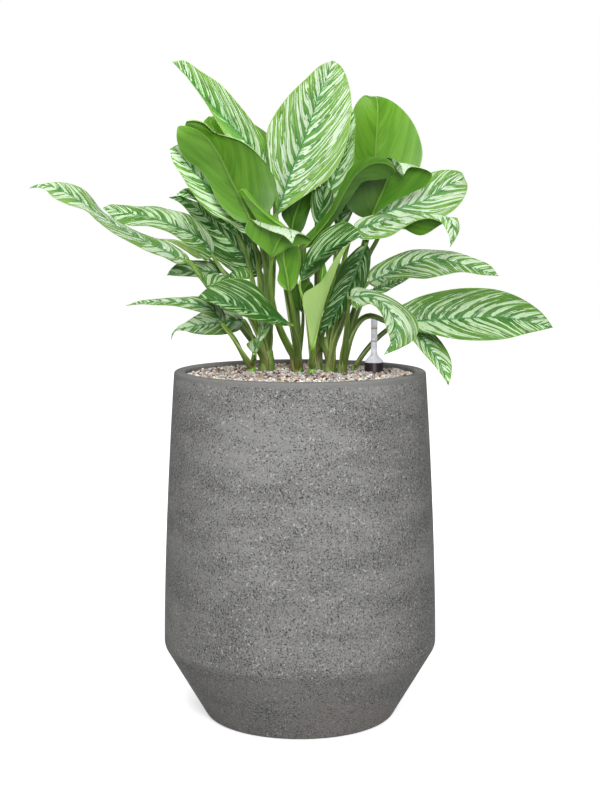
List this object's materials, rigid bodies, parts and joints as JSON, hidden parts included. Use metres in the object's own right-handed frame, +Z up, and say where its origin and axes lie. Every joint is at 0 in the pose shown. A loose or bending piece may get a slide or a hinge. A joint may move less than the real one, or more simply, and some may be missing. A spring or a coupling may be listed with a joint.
{
  "type": "potted chinese evergreen",
  "caption": "Tall round stone-look planter, widest low down above a slanting foot, filled with granulate that holds a leafy chinese evergreen and a water level gauge.",
  "frame": {"origin": "Centre of the planter's flat base, on the floor.", "axes": "+Z up, through the planter's axis. The side seen in the picture faces -Y. +X is to the right in that view."},
  "size_m": [0.7882, 0.5421, 1.0169],
  "materials": {
    "planter_stone": "dull mid-grey cast stone with pits and flecks",
    "granulate": "loose mineral grains, white, cream, grey and red-brown",
    "gauge_brown": "dark brown moulded plastic",
    "gauge_clear": "clear moulded plastic",
    "gauge_float": "off-white foamed plastic",
    "gauge_red": "red plastic",
    "stalk_green": "smooth living green stem",
    "leaf_green": "half-glossy living leaf, green with pale stripes"
  },
  "bodies": {
    "root": {"gauge_float": "gauge_float", "gauge_float_tip": "gauge_red", "gauge_pipe": "gauge_brown", "gauge_sight_tube": "gauge_clear", "granulate": "granulate", "leaf_back_1": "leaf_green", "leaf_back_2": "leaf_green", "leaf_back_3": "leaf_green", "leaf_back_4": "leaf_green", "leaf_back_5": "leaf_green", "leaf_back_6": "leaf_green", "leaf_back_7": "leaf_green", "leaf_back_spear": "leaf_green", "leaf_centre_folded": "leaf_green", "leaf_centre_plain": "leaf_green", "leaf_centre_pointed": "leaf_green", "leaf_centre_right": "leaf_green", "leaf_centre_shaded": "leaf_green", "leaf_centre_small": "leaf_green", "leaf_front_drooping": "leaf_green", "leaf_front_hanging": "leaf_green", "leaf_front_left": "leaf_green", "leaf_front_left_tip_down": "leaf_green", "leaf_front_pale": "leaf_green", "leaf_left_broad": "leaf_green", "leaf_left_inner": "leaf_green", "leaf_left_low": "leaf_green", "leaf_left_low_shaded": "leaf_green", "leaf_left_narrow": "leaf_green", "leaf_left_outer": "leaf_green", "leaf_left_outermost": "leaf_green", "leaf_left_shaded": "leaf_green", "leaf_left_slender": "leaf_green", "leaf_left_small_tip": "leaf_green", "leaf_right_arching": "leaf_green", "leaf_right_broad": "leaf_green", "leaf_right_hooded": "leaf_green", "leaf_right_low": "leaf_green", "leaf_right_middle": "leaf_green", "leaf_right_middle_behind": "leaf_green", "leaf_right_outermost": "leaf_green", "leaf_right_overhanging": "leaf_green", "leaf_right_shaded": "leaf_green", "leaf_small_curled": "leaf_green", "leaf_tall_behind": "leaf_green", "leaf_tall_centre": "leaf_green", "leaf_upper_left_long": "leaf_green", "leaf_upper_left_round": "leaf_green", "leaf_upper_right": "leaf_green", "leaf_young_rolled": "leaf_green", "leaf_young_spear": "leaf_green", "planter": "planter_stone", "shoot_back": "stalk_green", "shoot_centre": "stalk_green", "shoot_front": "stalk_green", "shoot_left": "stalk_green", "shoot_left_front": "stalk_green", "shoot_outer_right": "stalk_green", "shoot_right": "stalk_green", "shoot_slanting": "stalk_green"}
  },
  "joints": []
}
